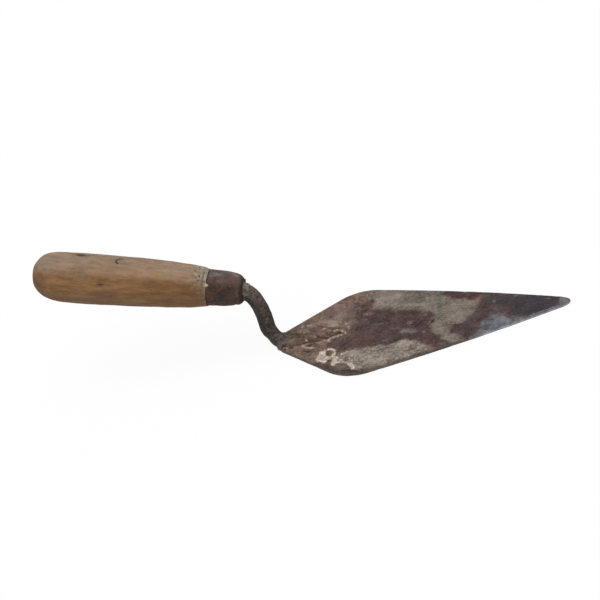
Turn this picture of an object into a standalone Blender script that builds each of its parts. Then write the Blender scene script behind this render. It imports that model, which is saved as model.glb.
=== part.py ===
"""Mason's pointing trowel: a kite-shaped steel blade, a cranked shank with a tang,
a swaged steel ferrule and a turned wooden handle.

Frame: +X runs along the blade to its tip, +Z is up, and the blade lies flat with its
underside at z = 0. The origin is where the two diagonals of the kite cross, on the
underside. Everything is symmetric about the plane y = 0. Lengths below are in millimetres.
"""
import math

import bmesh
import bpy
import numpy as np

MM = 0.001                  # metres in a millimetre
GAP = 0.3                   # left between pieces that touch
MERGE = 0.01                # distance below which modifiers merge points

# Blade: a kite whose corners are rounded.
HEEL_REACH = 49.1           # diagonals' crossing back to the kite's sharp heel
TIP_REACH = 119.6           # diagonals' crossing forward to the kite's sharp tip
HALF_WIDTH = 42.2           # diagonals' crossing out to a sharp side corner
CORNER_RADIUS = 22.3
TIP_RADIUS = 3.3
EDGE_BULGE = 1.55           # how far the long front edges bow outwards
BLADE_THICKNESS = 1.7
EDGE_BEVEL = 0.35
HEEL_CUT = 9.4              # length lost from the sharp heel, where the shank comes in
HEEL_RADIUS = 2.5           # rounding of the two corners that the heel cut leaves

# Handle line: the common axis of tang, ferrule and handle, in the plane y = 0.
HANDLE_RISE = 14.8          # degrees that the axis climbs towards the butt
MOUTH_BACK = 51.5           # ferrule's mouth, behind the diagonals' crossing
MOUTH_HEIGHT = 37.2         # ferrule's mouth, above the blade's underside

# Ferrule: a steel tube swaged in at the mouth and flared at the back rim.
FERRULE_LENGTH = 18.4
FERRULE_RADIUS = 9.52
RIM_RADIUS = 9.85
RIM_LENGTH = 3.0
SWAGE_LENGTH = 11.6         # how far behind the mouth the swage starts
SWAGE_REACH = 17.05         # half axis of the swage's ellipse
FERRULE_WALL = 0.85

# Handle: a turned grip with a tenon inside the ferrule.
HANDLE_LENGTH = 115.7       # mouth to the end of the butt
BUTT_START = 94.0           # mouth to where the butt starts to round
BUTT_ROUNDNESS = 2.6        # exponent of the butt's outline
GRIP = (                    # distance behind the mouth, radius
    (18.7, 10.3),
    (24.5, 11.05),
    (31.0, 11.75),
    (54.0, 13.05),
    (81.0, 13.65),
    (BUTT_START, 13.65),
)
TENON_START = 2.0           # mouth to the tenon's front end
SOCKET_RADIUS = 5.2         # round socket for the shank's shoulder
SOCKET_END = 6.8            # mouth to the bottom of that socket
BORE_END_SPACE = 2.0        # empty end of the tang's bore

# Shank: tang, bend, leg, and a foot that flattens into the tongue on the blade.
SHANK_RADIUS = 4.35
SHOULDER_RADIUS = 4.45
BEND_RADIUS = 12.4
BEND_START = 4.4            # behind the mouth
LEG_LEAN = 4.8              # degrees that the leg leans off the vertical
LEG_END_HEIGHT = 12.2       # where the leg starts to widen into the foot
SHOULDER_CHAMFER = 0.3
TANG_START = 6.5            # behind the mouth
TANG_END = 62.0
TANG_HALF = 3.0             # half of the tang's width at its start and at its end
TANG_END_HALF = 1.7
FOOT = (        # ahead of the sharp heel, height, slope, half width, above, below, lower exponent
    (4.4, 9.0, 76.0, 4.4, 4.3, 4.3, 2.0),
    (5.6, 6.2, 62.0, 5.1, 3.9, 3.8, 2.2),
    (7.6, 3.7, 44.0, 6.4, 3.1, 2.7, 3.0),
    (10.2, 2.6, 18.0, 7.5, 2.2, 0.55, 5.0),
)
TONGUE = (                  # ahead of the sharp heel, half width, thickness
    (13.5, 7.8, 2.35),
    (19.0, 7.8, 2.1),
    (28.0, 7.0, 1.7),
    (36.5, 5.9, 1.2),
    (41.5, 3.7, 0.8),
    (44.5, 1.0, 0.5),
)
TONGUE_SIDE = 0.2           # height of the tongue's widest line above its seat
OVERHANG = 1.0              # behind the heel cut, the foot's sections already clear the blade

BEND_DEGREES = 90.0 - LEG_LEAN - HANDLE_RISE

# Fineness of the shapes.
RING_POINTS = 24            # points of a section of the shank
BEND_RINGS = 9
SPAN_STEPS = 3              # sections or profile points for each given one
TURN_STEPS = 36             # sides of a turned piece
ROUND = 2.0                 # exponent of a round section
SQUARE = 6.0                # exponent of a nearly square section

COLORS = {                  # colour, roughness, metallic
    "blade": ((0.200, 0.160, 0.140), 0.62, 0.55),
    "shank": ((0.055, 0.042, 0.038), 0.70, 0.45),
    "ferrule": ((0.115, 0.075, 0.068), 0.75, 0.35),
    "handle": ((0.400, 0.270, 0.165), 0.68, 0.0),
}


def clear_scene():
    for obj in list(bpy.data.objects):
        bpy.data.objects.remove(obj, do_unlink=True)


def make_collection(name):
    collection = bpy.data.collections.new(name)
    bpy.context.scene.collection.children.link(collection)
    return collection


def make_material(name):
    color, roughness, metallic = COLORS[name]
    material = bpy.data.materials.new(name)
    material.use_nodes = True
    shader = material.node_tree.nodes["Principled BSDF"]
    shader.inputs["Base Color"].default_value = (*color, 1.0)
    shader.inputs["Roughness"].default_value = roughness
    shader.inputs["Metallic"].default_value = metallic
    return material


def add_object(name, data, collection, parent=None):
    obj = bpy.data.objects.new(name, data)
    collection.objects.link(obj)
    obj.parent = parent
    return obj


def arc(centre, radius, start, end, count):
    """Points of an arc in the plane, from angle start to angle end."""
    angles = np.linspace(start, end, count)
    return [centre + radius * np.array([math.cos(a), math.sin(a)]) for a in angles]


def smooth_rows(rows, steps):
    """Rows of numbers along a Catmull-Rom curve through the given rows."""
    rows = np.array(rows, float)
    padded = np.vstack([2 * rows[0] - rows[1], rows, 2 * rows[-1] - rows[-2]])
    result = []
    for index in range(1, len(padded) - 2):
        before, start, end, after = padded[index - 1:index + 3]
        for step in range(steps):
            t = step / steps
            result.append(0.5 * (
                2 * start
                + (end - before) * t
                + (2 * before - 5 * start + 4 * end - after) * t ** 2
                + (3 * start - before - 3 * end + after) * t ** 3
            ))
    result.append(rows[-1])
    return result


def half_outline():
    """Left half of the blade's outline, from the heel cut round to the tip."""
    heel = np.array([-HEEL_REACH, 0.0])
    corner = np.array([0.0, HALF_WIDTH])
    tip = np.array([TIP_REACH, 0.0])
    to_heel = (heel - corner) / np.linalg.norm(heel - corner)
    to_tip = (tip - corner) / np.linalg.norm(tip - corner)
    half_angle = math.acos(to_heel @ to_tip) / 2
    tangent = CORNER_RADIUS / math.tan(half_angle)
    bisector = (to_heel + to_tip) / np.linalg.norm(to_heel + to_tip)
    centre = corner + bisector * CORNER_RADIUS / math.sin(half_angle)
    rear = corner + to_heel * tangent - centre
    front = corner + to_tip * tangent - centre
    cut = heel - to_heel * HEEL_CUT / abs(to_heel[0])
    heel_turn = math.atan2(-to_heel[1], -to_heel[0])
    heel_tangent = HEEL_RADIUS * math.tan((math.pi / 2 - heel_turn) / 2)
    heel_centre = cut + np.array([HEEL_RADIUS, -heel_tangent])
    points = arc(heel_centre, HEEL_RADIUS, math.pi, math.pi / 2 + heel_turn, 5)
    points += arc(centre, CORNER_RADIUS, math.atan2(rear[1], rear[0]),
                  math.atan2(front[1], front[0]), 12)

    slope = math.atan2(HALF_WIDTH, TIP_REACH)
    tip_centre = np.array([TIP_REACH - TIP_RADIUS / math.sin(slope), 0.0])
    tip_arc = arc(tip_centre, TIP_RADIUS, math.pi / 2 - slope, 0.0, 6)
    edge_start = points[-1]
    edge = tip_arc[0] - edge_start
    outward = np.array([-edge[1], edge[0]]) / np.linalg.norm(edge)
    for t in np.linspace(0.0, 1.0, 10)[1:-1]:
        points.append(edge_start + edge * t + outward * EDGE_BULGE * 4 * t * (1 - t))
    return points + tip_arc


def make_blade(collection):
    left = half_outline()
    right = [point * (1, -1) for point in left[-2::-1]]
    outline = left + right
    curve = bpy.data.curves.new("blade", "CURVE")
    curve.dimensions = "2D"
    curve.fill_mode = "BOTH"
    curve.extrude = BLADE_THICKNESS / 2 * MM
    spline = curve.splines.new("POLY")
    spline.points.add(len(outline) - 1)
    for point, (x, y) in zip(spline.points, outline):
        point.co = (x * MM, y * MM, 0.0, 1.0)
    spline.use_cyclic_u = True
    blade = add_object("blade", curve, collection)
    blade.location.z = BLADE_THICKNESS / 2 * MM
    weld = blade.modifiers.new("weld", "WELD")
    weld.merge_threshold = MERGE * MM
    bevel = blade.modifiers.new("worn edge", "BEVEL")
    bevel.width = EDGE_BEVEL * MM
    bevel.segments = 2
    bevel.limit_method = "ANGLE"
    bevel.angle_limit = math.radians(60)
    curve.materials.append(make_material("blade"))


def ring(x, z, slope, half_width, above, below, upper, lower):
    """Closed section across the shank; slope is its heading below the horizontal."""
    slope = math.radians(slope)
    up = np.array([math.sin(slope), 0.0, math.cos(slope)])
    side = np.array([0.0, 1.0, 0.0])
    points = []
    for step in range(RING_POINTS):
        angle = 2 * math.pi * step / RING_POINTS
        cosine, sine = math.cos(angle), math.sin(angle)
        depth, exponent = (above, upper) if sine >= 0 else (below, lower)
        across = half_width * math.copysign(abs(cosine) ** (2 / exponent), cosine)
        along = depth * math.copysign(abs(sine) ** (2 / exponent), sine)
        points.append(np.array([x, 0.0, z]) + side * across + up * along)
    return points


def on_handle_line(distance, drop=0.0):
    """Point behind the mouth on the handle line, and below that line by drop."""
    rise = math.radians(HANDLE_RISE)
    x = -MOUTH_BACK - distance * math.cos(rise) - drop * math.sin(rise)
    z = MOUTH_HEIGHT + distance * math.sin(rise) - drop * math.cos(rise)
    return x, z


def tang_rings():
    """Square tapering tang, then the chamfered round shoulder that stops it."""
    chamfer = SHOULDER_CHAMFER
    stations = (
        (TANG_END, TANG_END_HALF, SQUARE),
        (TANG_START, TANG_HALF, SQUARE),
        (TANG_START - chamfer, SHOULDER_RADIUS - chamfer, ROUND),
        (TANG_START - 2 * chamfer, SHOULDER_RADIUS, ROUND),
    )
    for distance, half, power in stations:
        x, z = on_handle_line(distance)
        yield ring(x, z, HANDLE_RISE, half, half, half, power, power)


def bend_point(degrees):
    """Centre of the shank where it has turned by some degrees from the handle line."""
    angle = math.radians(degrees)
    return on_handle_line(BEND_START - BEND_RADIUS * math.sin(angle),
                          BEND_RADIUS * (1 - math.cos(angle)))


def bend_rings():
    for degrees in np.linspace(0.0, BEND_DEGREES, BEND_RINGS):
        x, z = bend_point(degrees)
        part = degrees / BEND_DEGREES
        radius = SHOULDER_RADIUS + (SHANK_RADIUS - SHOULDER_RADIUS) * part
        yield ring(x, z, HANDLE_RISE + degrees, radius, radius, radius, ROUND, ROUND)


def foot_rings():
    """Leg's lower end, the foot, and the tongue that lies on the blade."""
    bend_x, bend_z = bend_point(BEND_DEGREES)
    leg_x = bend_x + (bend_z - LEG_END_HEIGHT) * math.tan(math.radians(LEG_LEAN))
    radii = (SHANK_RADIUS,) * 3
    rows = [(leg_x + HEEL_REACH, LEG_END_HEIGHT, 90.0 - LEG_LEAN, *radii, ROUND)]
    rows += FOOT
    seat = BLADE_THICKNESS + GAP
    for x, half_width, thickness in TONGUE:
        above = thickness - TONGUE_SIDE
        rows.append((x, seat + TONGUE_SIDE, 0.0, half_width, above, TONGUE_SIDE, SQUARE))
    for x, z, slope, half_width, above, below, lower in smooth_rows(rows, SPAN_STEPS):
        if x > HEEL_CUT - OVERHANG:
            z = max(z, seat + below)
        yield ring(x - HEEL_REACH, z, slope, half_width, above, below, ROUND, lower)


def loft(name, rings, collection):
    mesh = bpy.data.meshes.new(name)
    work = bmesh.new()
    loops = [[work.verts.new(point * MM) for point in points] for points in rings]
    for first, second in zip(loops, loops[1:]):
        for step in range(RING_POINTS):
            following = (step + 1) % RING_POINTS
            work.faces.new((first[step], first[following], second[following], second[step]))
    work.faces.new(loops[0])
    work.faces.new(loops[-1])
    bmesh.ops.recalc_face_normals(work, faces=work.faces)
    work.to_mesh(mesh)
    work.free()
    return add_object(name, mesh, collection)


def make_shank(collection):
    rings = [*tang_rings(), *bend_rings(), *foot_rings()]
    shank = loft("shank", rings, collection)
    shank.data.shade_smooth()
    shank.data.set_sharp_from_angle(angle=math.radians(45))
    shank.data.materials.append(make_material("shank"))


def turn(name, profile, closed, collection, parent):
    """Turned body: the profile is (radius, height), down the outer side first."""
    mesh = bpy.data.meshes.new(name)
    count = len(profile)
    edges = [(step, step + 1) for step in range(count - 1)]
    if closed:
        edges.append((count - 1, 0))
    mesh.from_pydata([(r * MM, 0.0, z * MM) for r, z in profile], edges, [])
    obj = add_object(name, mesh, collection, parent)
    screw = obj.modifiers.new("turning", "SCREW")
    screw.steps = TURN_STEPS
    screw.render_steps = TURN_STEPS
    screw.use_merge_vertices = True
    screw.merge_threshold = MERGE * MM
    screw.use_smooth_shade = True
    mesh.materials.append(make_material(name))
    return obj


def ferrule_radius(distance):
    """Outer radius of the ferrule at a distance behind its mouth."""
    if distance < SWAGE_LENGTH:
        reach = (SWAGE_LENGTH - distance) / SWAGE_REACH
        return FERRULE_RADIUS * math.sqrt(1 - reach ** 2)
    flare = max(0.0, distance - FERRULE_LENGTH + RIM_LENGTH) / RIM_LENGTH
    return FERRULE_RADIUS + (RIM_RADIUS - FERRULE_RADIUS) * flare ** 1.5


def make_ferrule(collection, parent):
    swage = list(np.linspace(SWAGE_LENGTH, 0.0, 7))
    flare = list(np.linspace(FERRULE_LENGTH, FERRULE_LENGTH - RIM_LENGTH, 4))
    outer = [(ferrule_radius(z), z) for z in flare + swage]
    inner = [(ferrule_radius(z) - FERRULE_WALL, z) for z in reversed(swage)]
    inner.append((FERRULE_RADIUS - FERRULE_WALL, FERRULE_LENGTH))
    turn("ferrule", outer + inner, True, collection, parent)


def butt_profile():
    """Rounded butt, from the axis out to the grip's full radius."""
    reach = HANDLE_LENGTH - BUTT_START
    full = GRIP[-1][1]
    points = []
    for angle in np.linspace(0.0, math.pi / 2, 10)[:-1]:
        radius = full * math.sin(angle) ** (2 / BUTT_ROUNDNESS)
        points.append((radius, BUTT_START + reach * math.cos(angle) ** (2 / BUTT_ROUNDNESS)))
    return points


def tenon_profile():
    """Shoulder and tenon, inside the ferrule with a small gap, ending on the axis."""
    shrink = FERRULE_WALL + GAP
    stations = np.linspace(SWAGE_LENGTH, TENON_START, 6)
    points = [(FERRULE_RADIUS - shrink, FERRULE_LENGTH + GAP)]
    points += [(ferrule_radius(z) - shrink, z) for z in stations]
    return points + [(0.0, TENON_START)]


def add_cut(obj, cutter):
    cutter.hide_render = True
    cutter.display_type = "WIRE"
    cut = obj.modifiers.new("cut " + cutter.name, "BOOLEAN")
    cut.operation = "DIFFERENCE"
    cut.solver = "EXACT"
    cut.object = cutter


def cone_cutter(name, sides, start, end, start_radius, end_radius, collection, parent):
    """Straight or tapered cutter along the handle line, between two distances."""
    mesh = bpy.data.meshes.new(name)
    work = bmesh.new()
    bmesh.ops.create_cone(work, cap_ends=True, segments=sides, radius1=start_radius * MM,
                          radius2=end_radius * MM, depth=(end - start) * MM)
    work.to_mesh(mesh)
    work.free()
    cutter = add_object(name, mesh, collection, parent)
    cutter.location.z = (start + end) / 2 * MM
    return cutter


def make_handle(collection, cutters, parent):
    grip = [(radius, z) for z, radius in smooth_rows(GRIP, SPAN_STEPS)]
    profile = butt_profile() + grip[::-1] + tenon_profile()
    handle = turn("handle", profile, False, collection, parent)

    socket = cone_cutter("socket", TURN_STEPS, 0.0, SOCKET_END, SOCKET_RADIUS,
                         SOCKET_RADIUS, cutters, parent)
    add_cut(handle, socket)

    bore_end = TANG_END + BORE_END_SPACE
    taper = (TANG_HALF - TANG_END_HALF) / (TANG_END - TANG_START)
    corner = math.sqrt(2)
    start_half = TANG_HALF + GAP + taper * TANG_START
    end_half = TANG_HALF + GAP - taper * (bore_end - TANG_START)
    bore = cone_cutter("tang_bore", 4, 0.0, bore_end, start_half * corner,
                       end_half * corner, cutters, parent)
    bore.rotation_euler.z = math.radians(45)
    add_cut(handle, bore)


def build_trowel():
    clear_scene()
    trowel = make_collection("pointing_trowel")
    cutters = make_collection("cutters")

    handle_line = add_object("handle_line", None, trowel)
    handle_line.location = (-MOUTH_BACK * MM, 0.0, MOUTH_HEIGHT * MM)
    handle_line.rotation_euler.y = -math.radians(90 - HANDLE_RISE)

    make_blade(trowel)
    make_shank(trowel)
    make_ferrule(trowel, handle_line)
    make_handle(trowel, cutters, handle_line)


build_trowel()
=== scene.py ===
"""Looks of an old mason's pointing trowel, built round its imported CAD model.

The blade, shank, ferrule and handle each get one detailed piece in place of their CAD node.
Fields such as rust or mortar are worked out at every point of a piece. They shape its
surface, and its material reads them as attributes. Lengths are in millimetres.
"""
import math

import bmesh
import bpy
import numpy as np
from mathutils import Matrix, Vector, geometry, noise


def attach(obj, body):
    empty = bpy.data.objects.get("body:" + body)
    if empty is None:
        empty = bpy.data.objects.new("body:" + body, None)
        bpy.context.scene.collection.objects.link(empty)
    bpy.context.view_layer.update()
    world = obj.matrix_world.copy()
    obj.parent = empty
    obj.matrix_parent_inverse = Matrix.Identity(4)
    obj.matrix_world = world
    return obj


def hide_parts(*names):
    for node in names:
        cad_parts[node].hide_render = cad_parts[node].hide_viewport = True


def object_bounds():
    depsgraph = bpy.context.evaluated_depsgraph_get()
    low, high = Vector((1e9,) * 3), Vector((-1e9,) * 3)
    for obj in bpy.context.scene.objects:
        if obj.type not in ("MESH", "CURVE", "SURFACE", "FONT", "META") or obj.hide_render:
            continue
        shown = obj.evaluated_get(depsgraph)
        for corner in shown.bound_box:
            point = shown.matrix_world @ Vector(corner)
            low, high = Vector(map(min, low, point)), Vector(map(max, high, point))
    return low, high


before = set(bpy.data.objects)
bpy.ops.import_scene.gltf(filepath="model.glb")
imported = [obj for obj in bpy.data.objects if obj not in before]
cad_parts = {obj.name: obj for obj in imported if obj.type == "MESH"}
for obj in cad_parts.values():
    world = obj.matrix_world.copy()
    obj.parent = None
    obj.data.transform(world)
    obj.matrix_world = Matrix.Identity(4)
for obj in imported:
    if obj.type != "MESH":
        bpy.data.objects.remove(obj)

cad_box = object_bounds()
MM = 0.001

# Camera: where it looks from, and where its aim lies from the middle of the CAD box.
CAMERA_AZIMUTH = 16.57
CAMERA_ELEVATION = 29.42
CAMERA_ROLL = -17.11
CAMERA_DISTANCE = 536.05
CAMERA_AIM = (2.20, 0.0, -12.60)
CAMERA_LENS = 60.52

# Light: brightness of the sky, of the light from below, and of the lamp overhead.
SKY = 0.52
BELOW = 0.30
LAMP = 1.55
LAMP_SPREAD = 70.0
LAMP_TILT = (12.0, -8.0)
HORIZON = 0.15              # half height of the soft step between sky and ground
FLOOR_SIZE = 9000.0
FLOOR_DROP = 0.1
FLOOR_GLOW = 0.90           # keeps the shadow on the floor faint

WELD = 0.002 * MM           # points nearer than this are joined

# Blade.
STATIONS = 320              # sections along the blade
HALF_ROWS = 62              # rows from its middle line to one edge
EDGE_GROWTH = 0.45          # scale and wear outside the CAD outline
TIP_GROWTH = 1.1
TIP_NARROWING = 0.36        # part of the CAD width that is worn away at the tip
WORN_TIP = (107.0, 109.0)   # where the growth and the narrowing start
EDGE_ROUND = 0.45
EDGE_STEPS = (0.45, 0.13, 0.0)      # rows over the rounding, from its inner side to the edge
RIM_ROWS = 3                # rows down the thickness
TONGUE_TOP = 2.9            # the shank's points below this height are the tongue
FILLET = (0.55, 0.75)       # height and reach of the dirt along the foot of the tongue
RIDGE = (-8.9, -4.3, 4.6, 0.8, 24)  # mortar beside the tongue: place, half axes, turn

# Patches on the blade's face, as corners seen from above. The heel is at negative x, and
# negative y is the near side.
MAIN_RUST = (
    (-0.3, 21.6), (10.8, 18.6), (17.5, 16.1), (24.2, 13.6), (33.5, 12.4), (36.4, 9), (42.5, 6.5),
    (44.5, 3.5), (42.5, 1), (42, -5.6), (43, -10), (43.7, -13.1), (47.5, -18.2), (53, -24.6),
    (48.6, -31), (41.9, -24.5), (36.9, -21.6), (34, -17.8), (29.6, -15), (26, -16.3), (21, -18.3),
    (13.1, -17.9), (6.4, -17.7), (-1.4, -19), (-5.3, -17.5), (-11, -12.5), (-8.5, -7), (-3, -4.4),
    (-1.4, 1.1), (-1.5, 7.8), (-3.6, 14.4),
)
HEEL_RUST = (
    (-0.5, 28.4), (2, 25.6), (7, 27), (8, 29.6), (10.3, 29.6), (10.8, 25), (8.7, 20.4), (4.2, 20.6),
    (-1.3, 23.2),
)
FAR_RUST = (
    (47.5, 23.6), (52, 29), (72, 20), (69.5, 15), (64.1, 13.9), (57.5, 16.4), (51.9, 19),
)
TIP_RUST = (
    (69.1, 14.5), (72, 24), (112, 8), (116, 0), (112, -8), (80, -20), (64, -27), (57.5, -19.2),
    (53.6, -15.8), (51.5, -11.1), (60.8, -6.7), (62, -2.9), (65.2, 2.8),
)
CORNER_RUST = (
    (-20, -25.5), (-13, -27.3), (-9.5, -31.5), (-6, -31.8), (-4.5, -29.5), (-0.5, -31), (0.5, -34.5),
    (5, -36.5), (12, -37), (9, -43), (-4, -43), (-14, -36),
)
BARE_STEEL = (
    (66.5, -18.8), (70.5, -10.4), (74, -4.5), (79.7, -5.3), (84.7, -9.9), (96, -10.7), (112, -3.5),
    (112, -8), (90, -17.5), (66, -26),
)
NEAR_FILM = (
    (-6.5, -19.6), (4.2, -18.9), (13.1, -19.5), (21.9, -19.4), (28.6, -16.2), (35.2, -19.1),
    (39.6, -24.4), (41, -27.8), (35.3, -30.6), (21.9, -35), (13.1, -37), (5.4, -37.4), (3.1, -33.3),
    (-0.3, -30.9), (-6.5, -25.4),
)
PALE_BAND = (
    (8.8, 37.5), (28.6, 33), (48.6, 24.9), (50.1, 18.9), (63, 12.2), (67.5, 8.8), (62, 0),
    (60.8, -5.6), (52.1, -10), (50.8, -13.5), (60.5, -19), (53.7, -24.6), (46.3, -16.9), (44.9, -8.2),
    (43.9, -1.2), (45.3, 3.3), (38.6, 11), (30.8, 14.3), (21.9, 16.6), (13.1, 19.4), (11.3, 23.3),
    (11.2, 29), (5, 31),
)

# Marks on the face: strength, place, half length and half width, and a turn in degrees for
# those that lie askew.
FACE_MARKS = {
    "crust": (
        (1.2, -15, -17.6, 1.7, 2.2), (1.7, -14.7, -21.8, 2.1, 3.2), (1, -12, -15.4, 1.5, 0.9),
        (1, -9.6, -15.9, 1.8, 1.1, -50), (1.1, -8, -19.4, 0.9, 2.2, -10), (1.4, -11, -23.1, 2.4, 1.2),
        (1.2, -7.6, -24, 1.4, 2), (1.1, -12.9, -26, 1.3, 1, -20), (1.3, -7.6, -28.6, 1.3, 2.6),
        (0.9, -5.2, -28.2, 1.2, 0.7, 20), (0.7, -3.4, -26.6, 0.9, 0.9, 40),
        (0.8, -3.8, -21.3, 0.7, 1.1, 30), (0.8, -2, -19.9, 1.2, 0.6, 20), (0.7, 0.8, -19.9, 1.6, 0.5),
        (0.8, 1.9, -23.6, 0.9, 0.8), (0.7, 0.7, -25.8, 0.5, 1.4), (0.7, 3.2, -25.6, 0.5, 1.4),
        (0.7, 2, -28.4, 1, 0.6), (1.1, -1.8, -29.2, 1.9, 0.8, -35), (1.2, 1.2, -31.4, 1.8, 1.2, -30),
        (1.2, 3.2, -34.2, 1.2, 1.9), (0.6, -17.2, -21.8, 0.9, 1.6), (-2, -12, -19.4, 0.8, 1),
        (-1.8, -10.2, -26.3, 1, 1), (-0.8, -4.7, -18.1, 2.4, 0.9), (-0.9, -3.4, -32.4, 2.6, 1.5),
    ),
    "cream": (
        (1, -25.5, 11.2, 2.2, 1.2), (0.8, -30.2, 11, 1, 1), (1.3, -10.2, -4.9, 2.2, 0.55, 22),
        (1.3, -6.8, -3.5, 2.4, 0.55, 22), (1.3, -12.4, -6.6, 0.8, 1.3, 10),
        (1, -15, -6.4, 1.3, 0.5, -15), (0.8, -4, -1, 0.6, 2.2, 15), (1, -26.8, -8.4, 0.7, 1.4, 25),
        (1, -24.9, -9.8, 1.5, 0.9, -35), (1, -21.6, -11.3, 2.4, 0.8), (0.5, -17.4, -7.6, 1.3, 1.1),
        (0.6, -2.5, 3.2, 0.9, 3.6, 8), (0.5, -7.7, 10, 0.9, 3.5, 10), (0.5, -0.2, 9.3, 0.9, 2.4, 8),
        (0.5, -4.6, 6.8, 0.8, 3, 12), (0.6, -35.8, -9, 0.5, 0.9), (0.8, -17.5, -20.5, 1.3, 1.5),
        (0.6, -20.2, -16.7, 1, 1),
    ),
    "yellow": (
        (1, -11.2, 10.3, 2.8, 2.4), (1.3, -11.8, 7.3, 2.4, 1.1), (0.6, -15.5, 12.5, 3.5, 2),
        (0.5, -3, -32.6, 3.4, 2.2),
    ),
    "soot": (
        (1.1, -23.4, -8.4, 2, 0.9), (0.9, -33.7, -8.3, 1.9, 1.2), (1.6, -36.9, -9.2, 0.9, 0.7),
        (0.6, 0.5, 26.9, 1.4, 1.2), (0.8, 9, 27.1, 1, 2.8), (1, 26.5, -13.6, 1.8, 1.8),
        (0.9, 24.4, -15, 2.2, 1.4), (0.6, 21.9, -17, 1, 1.4), (0.7, 43.5, -1.1, 1.1, 2.6),
        (0.4, 43, -2.8, 3, 2.4), (0.5, 46.4, -12.2, 1.8, 2), (0.7, -16.8, -26, 3, 1.6, -35),
        (0.5, -24.5, -14.2, 4.8, 1.2, -20), (0.9, -12, -19.1, 0.9, 1.1), (0.9, -10.3, -25.6, 1, 1.2),
        (0.5, -3.4, -32.8, 3, 1.6), (0.6, 58.5, -21.6, 3.4, 0.9, 20), (0.6, -12.4, -9.4, 3, 1, 10),
    ),
    "mauve": (
        (0.7, -22.5, -16.5, 4.5, 2.2, -42), (0.7, -1, 24.7, 3.8, 4.2), (0.6, -26, 15, 2.6, 2),
        (0.7, -12, 20, 7, 4, 40), (0.6, -20, -13.5, 4, 1.6, -20), (0.7, 76, 1, 6, 4, -20),
        (0.6, 66, -3, 5, 4),
    ),
    "red": (
        (1.4, 2.2, -11.4, 3.4, 3.8), (0.9, 6.3, 25.4, 4.4, 3.6), (0.7, 11.6, -14.7, 4.6, 2),
        (0.9, 41.9, -19.3, 4.5, 2.8), (0.6, 8, -10, 4.2, 4), (0.6, 39.1, 4.9, 3.6, 2.2),
        (0.5, 60, 19, 8, 3.5, -18), (0.6, -28.5, -9.5, 2.4, 2), (0.5, 30, 5, 12, 5, -25),
        (0.6, -5, 17, 8, 5, 35), (0.6, -1, 3, 5, 5),
    ),
    "haze": (
        (1, 28.8, -7.8, 4, 2.1), (0.8, 33.1, -8.9, 2.3, 2.3), (0.8, 31.2, -0.3, 1.9, 1.8),
        (0.6, 39.6, 5.7, 1.8, 1.5), (0.9, 44.4, 7.4, 2.4, 2.9), (0.5, 18.5, -13.6, 2.4, 1.9),
        (0.6, 39, -11.3, 1.8, 2), (0.6, 42.5, -23.9, 2.8, 1.1), (0.5, 6, 8.6, 2, 3.2),
        (0.5, 20.7, 13, 2.4, 1), (0.6, -29.5, 10.6, 4.5, 2.4, 35), (0.5, -35.4, 7.2, 2.6, 1.2, 35),
        (0.9, 59.8, -5.4, 0.9, 0.9), (0.9, 76.8, -6.1, 1.8, 1.9), (0.9, 75.7, 8.7, 1.2, 1.5),
        (0.6, 65.5, -6.8, 1.2, 0.9), (1.1, 103.2, 3.5, 1.4, 0.7), (0.9, 87.2, 10.9, 1.2, 0.8),
        (0.7, 81.2, -10, 1.6, 1), (1.1, 67.9, -19.4, 2.4, 1.1, 15), (0.7, 56.2, -17.4, 1.8, 1.4),
        (0.7, 52.6, -15.6, 1.8, 1.4), (0.7, 48.6, -23.6, 2.2, 1.9), (0.5, 24, -4, 6, 1, -10),
        (0.5, 14, 3, 6, 1.2, -10),
    ),
    "green": (
        (1, 31.8, 22.8, 3.2, 3.4), (0.9, 35.8, 19.9, 2.6, 2.8), (1, 44.1, 19.6, 3.2, 3.4),
        (0.9, 46.9, 13.8, 2.4, 5), (0.6, 34.5, -16.6, 2.8, 2), (0.7, -16.8, 15.6, 5, 2.2),
        (0.8, 71.6, 15, 2.8, 2.2), (0.7, 66, 5, 4, 4), (1.1, -2.5, -33.5, 5, 2.4),
        (0.7, 57.8, -20.5, 2.2, 1), (0.6, -34.5, -9.5, 2.2, 1.4), (0.9, -22, -20.8, 5, 1.5, -42),
        (0.8, -15.5, -27.2, 3.6, 1.3, -42), (0.9, -31.6, -11.2, 2, 1.2), (0.7, -33, 10.4, 4, 1.4, 42),
    ),
    "tan": (
        (1.1, 16.2, 22, 7, 2, -18), (1.1, 30.4, 17.1, 9, 1.8, -12), (1, 13.6, 26.9, 3.4, 3.4),
        (1, 21.5, 27.8, 5.4, 4, -15), (0.6, 52.4, 8.1, 5.6, 5.6), (0.7, 53.5, -1.8, 3.4, 3.8),
        (0.6, 47.9, -10.7, 2.4, 3), (0.6, 27.1, -24.7, 5.4, 3.6), (0.7, 13, -31.9, 4.4, 2.8),
        (0.7, 21.2, -30.3, 2.8, 2.6), (0.8, 1, -21, 5, 2), (0.5, -2, 8, 3.5, 6),
        (0.7, 2.5, -23.5, 4.5, 2.6), (0.7, -10, 15, 6, 4.5, 40), (0.5, -2, 16.8, 3.5, 3),
        (0.6, 7.2, 14.4, 4, 2.5), (0.5, -2.9, 25.2, 3.5, 2.5),
    ),
    "blue": (
        (1.3, 100, 0, 9, 8), (0.8, 88, 5, 9, 6.5), (0.7, 76, 10, 8, 5), (0.8, 92, -4, 8, 4),
        (0.6, 61, -13, 4, 4),
    ),
}

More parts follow.
